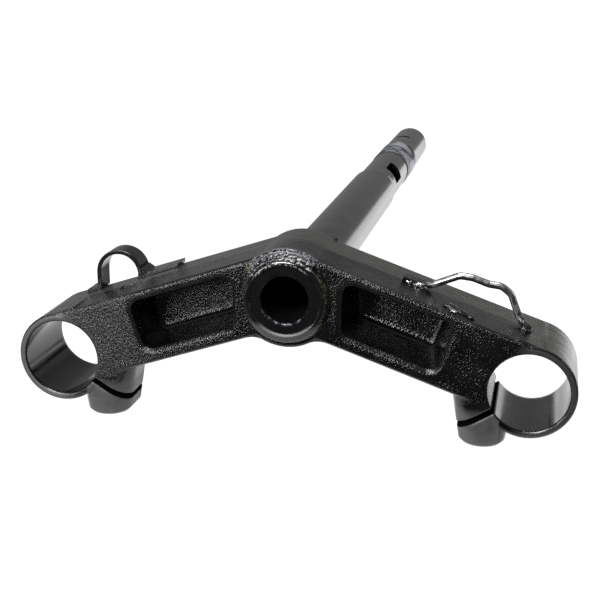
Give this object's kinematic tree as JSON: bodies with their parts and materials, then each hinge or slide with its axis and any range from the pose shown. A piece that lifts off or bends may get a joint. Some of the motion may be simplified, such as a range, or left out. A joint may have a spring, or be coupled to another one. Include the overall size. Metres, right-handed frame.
{
  "type": "motorcycle triple clamp",
  "caption": "Lower steering yoke with split fork clamps, drafted pockets, cable guides and a welded tubular steering stem.",
  "frame": {"origin": "on the steering axis, in the plane of the yoke's underside", "axes": "+X to the rider's right, +Y up the steering axis towards the stem's tip, +Z towards the bike's rear, which is up as the part lies on a table"},
  "size_m": [0.2676, 0.4759, 0.089],
  "materials": {
    "cast_black": "gloss black paint over rough casting",
    "stem_dark": "thin satin dark coat on turned steel",
    "weld_black": "gloss black paint over weld",
    "guide_black": "gloss black paint",
    "guide_steel": "bright drawn wire, painted over only at its feet"
  },
  "bodies": {
    "root": {"yoke": "cast_black", "steering_stem": "stem_dark", "stem_weld": "weld_black", "cable_loop": "guide_black", "wire_guide": "guide_steel"}
  },
  "joints": []
}
